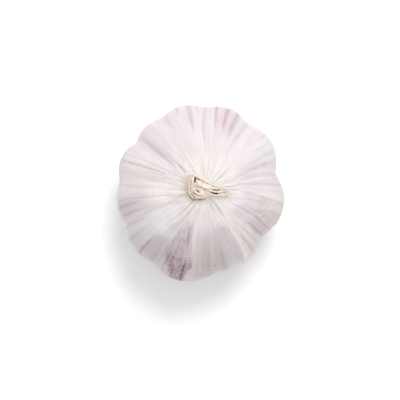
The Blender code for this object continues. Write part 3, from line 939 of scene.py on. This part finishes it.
def leaf_wall(stations, seed, gloom):
    """A sheath as a closed strip: a wall of the stations' thickness that stands on the smooth line through
    them, from WALL_FOOT to the neck's cut. It spreads a little towards its foot, ripples along the line, has
    fine ribs up its sides, and an uneven cut. Gloom is how fast it browns and darkens below the cut, partly
    dried colour and partly painted shade. Returns one stack whose rings are the wall's cross-sections."""
    line, along = even_curve(stations, WALL_STEP)
    tangent = np.gradient(line[:, :2], axis=0)
    tangent /= np.linalg.norm(tangent, axis=1, keepdims=True)
    outward = together(tangent[:, 1], -tangent[:, 0])
    up = np.linspace(0.0, 1.0, WALL_LEVELS)
    lip = np.cos(np.linspace(0.0, np.pi, LIP_POINTS + 2))[1:-1]
    side = np.concatenate((np.ones(WALL_LEVELS), lip, -np.ones(WALL_LEVELS)))
    rise = np.concatenate((up, np.ones(LIP_POINTS), up[::-1]))
    is_top = rise == 1.0
    crown = (1.0 - side**6) * is_top
    trace = along[:, None]
    spot = together(trace, rise * 4.0 + side * 0.4)
    line_spot = together(along, seed)
    top = cut_height(line) + line[:, 3]
    top += 0.08 * waves(line_spot, 1.8, seed) + 0.04 * waves(line_spot, 0.5, seed + 1)
    ends = window(0.0, 0.5, along[-1] - 0.5, along[-1], along)
    half = 0.5 * line[:, 2] * (0.25 + 0.75 * ends) * (1.0 + 0.07 * waves(line_spot, 1.3, seed + 2))
    ribs = 0.007 * waves(together(trace, rise * 0.5), 0.35, seed + 3) + 0.02 * waves(spot, 0.8, seed + 4)
    ripple = 0.06 * waves(together(trace, rise * 1.5), 2.6, seed + 5) * rise
    offset = side * (half[:, None] + ribs) + ripple
    spread = WALL_SPREAD + (1.0 - WALL_SPREAD) * rise
    plan = NECK_CENTRE + (line[:, None, :2] - NECK_CENTRE) * spread[:, None]
    plan = plan + outward[:, None] * offset[..., None]
    height = WALL_FOOT + (top[:, None] - WALL_FOOT) * rise + 0.09 * crown
    height = height + is_top * 0.03 * waves(spot * (1.0, 3.0), 0.7, seed + 6)
    return {
        "rings": raised(plan, height),
        "grain": together(trace, height, side),
        "depth": gloom * (top[:, None] - height),
        "side": np.broadcast_to(side, height.shape),
        "dryness": np.broadcast_to(np.clip(line[:, 4:5], 0.0, 1.0), height.shape),
    }


def sheath_finish():
    """Dry leaf base: a pale cut that is tan where it has dried, a thin brown line at its edges, and fibres up
    its walls, which are browner and darker the deeper they go: partly dried colour, partly painted shade."""
    finish = Finish("leaf sheath", **LEAF_GLOW)
    grain = finish.place("grain")
    where = finish.object_place()
    depth, side, dryness = (finish.level(label) for label in ("depth", "side", "dryness"))
    fibres = finish.noise(grain, (3.2, 0.25, 0.3), 4.0, 0.6)
    patches = finish.noise(grain, (0.8, 0.6, 0.5), 3.0)
    pith = finish.noise(where, 1500.0, 3.0, 0.6)
    layers = finish.noise(grain, (0.5, 0.4, 3.6), 3.0, 0.6)
    edge = (side * side).ramp(0.55, 1.0) * patches.ramp(0.40, 0.60)
    wall = finish.coats(
        tint(216, 198, 170),
        (fibres.ramp(0.38, 0.64), tint(190, 156, 110)),
        # Browner and darker below the cut: partly dried colour, partly painted shade.
        (depth.ramp(0.3, 2.0) * (patches * 0.6 + 0.5), tint(112, 80, 52)),
    )
    cut = finish.coats(
        tint(228, 220, 211),
        ((layers * 0.7 + pith * 0.3).ramp(0.42, 0.62) * 0.7, tint(212, 196, 176)),
        (dryness * (patches * 0.7 + 0.35), tint(196, 168, 128)),
        (edge * 0.5, tint(176, 124, 72)),
    )
    colour = finish.mix(depth.ramp(0.30, 0.06), wall, cut)
    bumps = finish.bump(fibres * 0.3 + pith * 0.15 + layers * 0.55, 0.0003, 0.8)
    return finish.wear(Base_Color=colour, Roughness=0.55 + pith * 0.2, Normal=bumps)


CORE_CENTRE = np.array((-0.72, -1.52))
CORE_HALF_LENGTH = 2.15
CORE_HALF_WIDTH = 1.12
CORE_TURN = math.radians(-35)
CORE_TOP = 46.5
CORE_COLUMNS = 96
CORE_SIDE = ((1.08, 4.6), (1.06, 3.4), (1.03, 2.2), (1.0, 1.2), (1.0, 0.4), (0.985, 0.12))  # scale, depth
CORE_DOME = 0.12
SLIT_PLACE = -0.28  # along the core's length, from its centre
SLIT_DEPTH = 0.7
ROLL_DEPTH = 0.12
OUTER_ROLL_DEPTH = 0.10


def make_core(finish):
    """The innermost roll: an oval column whose top is domed a little, with a slit along it and one turn of
    the rolled leaf as a groove round the slit, each groove a bell of the distance from its line. Rings run up
    the side, over the edge and in over the top to the middle."""
    top = [(scale, 0.0) for scale in np.linspace(0.95, 0.03, 26)]
    scale, depth = np.array((*CORE_SIDE, *top)).T[..., None]
    along, across = np.moveaxis(scale[..., None] * towards(all_round(CORE_COLUMNS)), -1, 0)
    along = along * CORE_HALF_LENGTH
    across = across * CORE_HALF_WIDTH
    is_top = smoothstep(0.15, 0.0, depth)
    wobble = 0.05 * waves(together(along, across), 1.2, 71)
    slit = bell(across + 0.16 + 0.06 * np.sin(along * 3.0), 0.20) * bell(along - SLIT_PLACE, 0.72)
    roll = bell(np.hypot((along - SLIT_PLACE) / 1.25, across) - 0.62, 0.09)
    outer_roll = bell(scale - 0.86, 0.035)
    hollows = SLIT_DEPTH * slit + ROLL_DEPTH * roll + OUTER_ROLL_DEPTH * outer_roll
    height = CORE_TOP - depth + is_top * (wobble + CORE_DOME * (1 - scale**2) - hollows)
    turned = together(
        along * math.cos(CORE_TURN) - across * math.sin(CORE_TURN),
        along * math.sin(CORE_TURN) + across * math.cos(CORE_TURN),
    )
    stack = {
        "rings": raised(CORE_CENTRE + turned, height),
        "slit": slit * is_top,
        "roll": np.clip(roll + outer_roll, 0.0, 1.0) * is_top,
        "depth": np.broadcast_to(depth, height.shape),
    }
    add_piece("core_roll", [stack], finish, ("neck_core",))


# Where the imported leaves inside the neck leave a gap, seen from above: its depth, half width and path.
GAPS = (
    (1.1, 0.28, ((-1.78, 2.75), (-1.95, 2.15), (-2.1, 1.6))),
    (0.7, 0.2, ((-0.95, 2.58), (-0.55, 2.4))),
    (0.34, 0.13, ((-0.5, 2.35), (0.95, 1.62), (2.6, 0.84), (4.4, 0.08))),
    (1.9, 0.26, ((3.75, -1.88), (4.3, -2.05), (5.2, -2.2))),
    (0.75, 0.14, ((4.1, -1), (4.8, -1.03), (5.6, -1.02), (6.2, -0.95))),
    (0.34, 0.17, ((7.65, -1.65), (8, -1.95), (8.4, -2.2))),
    (0.4, 0.16, ((4.7, -2.98), (5.7, -3.05))),
    (0.7, 0.16, ((-3.42, -2.28), (-2.9, -2.95), (-2.15, -3.6))),
    (0.6, 0.15, ((-2.75, -1.75), (-2.2, -2.4), (-1.4, -2.95))),
    (0.35, 0.13, ((-3.3, 2.2), (-3.4, 0.8), (-3.5, -0.6), (-3.45, -1.6))),
    (0.22, 0.16, ((0.95, -1.08), (1.35, -1.2))),
    (1.5, 0.4, ((-1.55, -1.13), (-0.53, -1.85))),
)
PACKING_DEPTH = 0.10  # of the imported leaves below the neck's cut
PACKING_FOOT = 41.3
PACKING_COLUMNS = 300


def make_packing(finish):
    """The shrunken leaves pressed between the sheaths, as a plug: a foot, then rings that are the neck's rim
    drawn in to its centre, a little under the cut, with the gaps as bells of the distance to their paths, and
    fine random ridges."""
    azimuth = all_round(PACKING_COLUMNS)
    share = np.append(0.8, np.linspace(0.99, 0.01, 90))[:, None]
    rim, drop = neck_loop(NECK_RIM, azimuth)
    plan = NECK_CENTRE + (share * rim)[..., None] * towards(azimuth)
    slump = np.maximum(drop - 0.3, 0.0) * smoothstep(0.86, 0.97, share)
    sunk = np.zeros(plan.shape[:2])
    for depth, width, path in GAPS:
        distance, _ = distance_to_path(plan, path)
        sunk += depth * bell(distance, width)
    leaf = together(share * rim, np.radians(azimuth))
    sunk -= 0.05 * waves(plan, 0.9, 91) + 0.03 * waves(leaf, 0.45, 92)
    height = cut_height(plan) - PACKING_DEPTH - sunk - slump
    height[0] = PACKING_FOOT
    stack = {"rings": raised(plan, height), "sunk": sunk, "leaf": raised(leaf, 0.0)}
    add_piece("neck_packing", [stack], finish)


def packing_finish():
    """Tan dried leaf, browner where it is sunk, partly the leaf's colour and partly painted shade, and near
    black deep in the gaps as painted shadow.
    """
    finish = Finish("neck packing", **LEAF_GLOW)
    fine = finish.noise(finish.object_place(), 1800.0, 4.0, 0.6)
    layers = finish.noise(finish.place("leaf"), (4.5, 1.3, 1.0), 4.0, 0.6) * 0.75 + fine * 0.25
    sunk = finish.level("sunk")
    colour = finish.coats(
        tint(214, 196, 172),
        (layers.ramp(0.40, 0.60), tint(225, 217, 206)),
        # Browner where sunk: partly dried leaf, partly painted shade.
        (sunk.ramp(0.12, 0.45), tint(176, 104, 50)),
        # Near black in the deepest gaps: painted shadow.
        (sunk.ramp(0.7, 1.6), tint(30, 22, 17)),
    )
    return finish.wear(Base_Color=colour, Roughness=0.7 + fine * 0.2, Normal=finish.bump(layers, 0.0003, 0.9))


def core_finish():
    """Pale cut stem, with tan rings and a brown slit, and sides that brown and darken below its top, partly
    dried colour and partly painted shade.
    """
    finish = Finish(
        "cut stem", Subsurface_Weight=0.25, Subsurface_Radius=(1.0, 0.75, 0.5), Subsurface_Scale=0.001
    )
    where = finish.object_place()
    fine = finish.noise(where, 2600.0, 3.0)
    blotch = finish.noise(where, 700.0, 2.0)
    colour = finish.coats(
        tint(218, 212, 206),
        (fine.ramp(0.4, 0.65), tint(208, 196, 184)),
        (finish.level("roll") * 0.4, tint(186, 158, 124)),
        (finish.level("slit").ramp(0.08, 0.6), tint(158, 104, 62)),
        # Browner and darker down the sides: partly dried colour, partly painted shade.
        (finish.level("depth").ramp(0.3, 2.5), tint(142, 98, 58)),
    )
    bumps = finish.bump(fine * 0.5 + blotch * 0.5, 0.0002, 0.7)
    return finish.wear(Base_Color=colour, Roughness=0.6 + blotch * 0.15, Normal=bumps)


# ---- The root plate ----

# The disc's profile from its hidden top to the middle of its underside: radius and height.
DISC_PROFILE = (
    (4.0, 3.3), (9.4, 3.1), (10.2, 2.4), (9.8, 1.4), (8.6, 0.8), (5.0, 0.9), (2.6, 0.7), (0.4, 1.1),
)
DISC_COLUMNS = 160
DISC_CLEARANCE = 0.25  # the lowest that its lumps reach

# The rings of roots: how many, radius, how far they lean out for each millimetre of length, and length.
ROOT_RINGS = (
    (14, 3.4, 0.1, 0.9),
    (22, 5, 0.15, 1),
    (30, 6.6, 0.25, 1.1),
    (38, 8.1, 0.5, 1.3),
    (44, 9.3, 0.9, 1.6),
)
ROOT_SIDES = 7
ROOT_START = 1.6  # height at which a root leaves the disc
ROOT_SWELL = np.array((1.25, 1.1, 1.0, 0.95, 0.95, 0.9, 0.8))  # its thickness from disc to tip


def make_root_plate(finish):
    """The corky disc: a stack of rings from its hidden top, over its rim and in under it, with a ridged,
    lumpy surface: the ridges are a sine of the radius, and the lumps random waves."""
    out = towards(all_round(DISC_COLUMNS))
    profile = curve_through(DISC_PROFILE, np.linspace(0, len(DISC_PROFILE) - 1, 70))
    rings = np.array([raised(radius * out, height) for radius, height in profile])
    lumps = 0.22 * waves(rings, 2.2, 51) + 0.10 * waves(rings, 0.9, 52)
    lumps += 0.10 * np.sin(profile[:, 0] * 6.0)[:, None]
    rings = rings + lumps[..., None] * grid_normals(rings) * (profile[:, 1] < 3.0)[:, None, None]
    rings[..., 2] = np.maximum(rings[..., 2], DISC_CLEARANCE)
    add_piece("root_disc", [{"rings": rings}], finish, ("root_plate",))


def make_root_stubs(finish):
    """Trimmed roots: short bent tubes that leave the disc, fan outwards the nearer they are to its rim, and
    are cut off just above the flat spot. Each is a stack of rings along a line that curves from straight down
    to its lean."""
    random = np.random.default_rng(61)
    share = np.linspace(0.0, 1.0, len(ROOT_SWELL))[:, None]
    section = towards(all_round(ROOT_SIDES))
    stacks = []
    for count, radius, lean, length in ROOT_RINGS:
        for number in range(count):
            bearing = 360.0 * (number + random.uniform(-0.3, 0.3)) / count
            start = (radius + random.uniform(-0.4, 0.4, 2)) * towards(bearing)
            out = start / np.linalg.norm(start)
            thick = random.uniform(0.26, 0.42)
            reach = lean * random.uniform(0.6, 1.4) * length
            side_lean = random.uniform(-0.35, 0.35) * length
            tip_height = random.uniform(0.02, 0.35)
            centre = start + share**1.6 * (reach * out + side_lean * np.array((-out[1], out[0])))
            plan = centre[:, None] + (thick * ROOT_SWELL)[:, None, None] * section
            height = ROOT_START + (tip_height - ROOT_START) * share
            stacks.append({"rings": raised(plan, height), "tip": np.broadcast_to(share, plan.shape[:2])})
    add_piece("root_stubs", stacks, finish)


def cork_finish():
    """Dry brown cork, paler on its ridges, with earth left in its pores."""
    finish = Finish("cork", Specular_IOR_Level=0.25)
    where = finish.object_place()
    lumps = finish.noise(where, 420.0, 5.0, 0.6)
    pores = finish.noise(where, 1700.0, 3.0, 0.6)
    colour = finish.coats(
        tint(116, 88, 60),
        (lumps.ramp(0.36, 0.66), tint(190, 164, 126)),
        (pores.ramp(0.58, 0.7), tint(70, 52, 38)),
    )
    bumps = finish.bump(lumps * 0.6 + pores * 0.4, 0.0006, 0.9)
    return finish.wear(Base_Color=colour, Roughness=0.85 + pores * 0.1, Normal=bumps)


def stub_finish():
    """Dried root: tan, darker where it leaves the disc, with a pale cut end."""
    finish = Finish("dried root", Specular_IOR_Level=0.3)
    where = finish.object_place()
    fibres = finish.noise(where, (2600.0, 2600.0, 500.0), 3.0)
    tip = finish.level("tip")
    colour = finish.coats(
        tint(158, 128, 90),
        (fibres.ramp(0.4, 0.62), tint(206, 182, 142)),
        (tip.ramp(0.5, 0.0), tint(112, 84, 56)),
        (tip.ramp(0.93, 1.0), tint(224, 204, 168)),
    )
    bumps = finish.bump(fibres, 0.0003, 0.8)
    return finish.wear(Base_Color=colour, Roughness=0.8 + fibres * 0.1, Normal=bumps)


# ---- The studio ----

# Each lamp: name, size in metres, watts, azimuth, elevation and distance in metres from the bulb's middle.
STUDIO_LAMPS = (
    ("key lamp", 0.40, 3.6, 70, 57, 0.8),
    ("overhead lamp", 1.60, 1.8, 80, 84, 1.1),
)
BULB_MIDDLE = Vector((0.0, 0.0, 18.0)) * MM
ROOM_LIGHT = 0.80
FLOOR_HALF = 3.0  # metres

CAMERA_AIM = Vector((-0.26, -2.45, 18.0)) * MM
CAMERA_AWAY = 0.525  # metres
CAMERA_LEAN = math.radians(4)  # off straight down
CAMERA_LENS = 135
CAMERA_SENSOR = 36


def turn_to_face(thing, target):
    """Turns a lamp or a camera, which looks along its own -Z, to face a target."""
    thing.rotation_euler = (target - thing.location).to_track_quat("-Z", "Y").to_euler()


def set_studio():
    """A white floor, a white room, a soft lamp from the upper right and a wide one overhead."""
    world = bpy.data.worlds.new("studio")
    world.use_nodes = True
    background = world.node_tree.nodes["Background"]
    background.inputs["Color"].default_value = (1.0, 1.0, 1.0, 1.0)
    background.inputs["Strength"].default_value = ROOM_LIGHT
    bpy.context.scene.world = world
    bpy.context.scene.view_settings.view_transform = "Standard"
    floor_mesh = bpy.data.meshes.new("floor")
    corners = [(x * FLOOR_HALF, y * FLOOR_HALF, 0.0) for x, y in ((-1, -1), (1, -1), (1, 1), (-1, 1))]
    floor_mesh.from_pydata(corners, [], [(0, 1, 2, 3)])
    floor_mesh.materials.append(Finish("floor", Base_Color=tint(247, 247, 247), Roughness=0.9).material)
    put_in_scene("floor", floor_mesh)
    for name, size, power, azimuth, elevation, away in STUDIO_LAMPS:
        lamp_data = bpy.data.lights.new(name, "AREA")
        lamp_data.shape = "DISK"
        lamp_data.size = size
        lamp_data.energy = power
        lamp = put_in_scene(name, lamp_data)
        lift = math.radians(elevation)
        lamp.location = BULB_MIDDLE + away * Vector((*(math.cos(lift) * towards(azimuth)), math.sin(lift)))
        turn_to_face(lamp, BULB_MIDDLE)


def set_camera():
    """A long lens, four degrees off straight down, leaning towards the viewer."""
    camera_data = bpy.data.cameras.new("camera")
    camera_data.lens = CAMERA_LENS
    camera_data.sensor_width = CAMERA_SENSOR
    camera = put_in_scene("camera", camera_data)
    camera.location = CAMERA_AIM + CAMERA_AWAY * Vector((0.0, -math.sin(CAMERA_LEAN), math.cos(CAMERA_LEAN)))
    turn_to_face(camera, CAMERA_AIM)
    bpy.context.scene.camera = camera


# ---- The whole object ----

make_skin()
cream_sheath = sheath_finish()
for name, stands_for, walls in SHEATHS:
    add_piece(name, [leaf_wall(*wall) for wall in walls], cream_sheath, (stands_for,), True)
make_core(core_finish())
make_packing(packing_finish())
make_root_plate(cork_finish())
make_root_stubs(stub_finish())
set_studio()
set_camera()
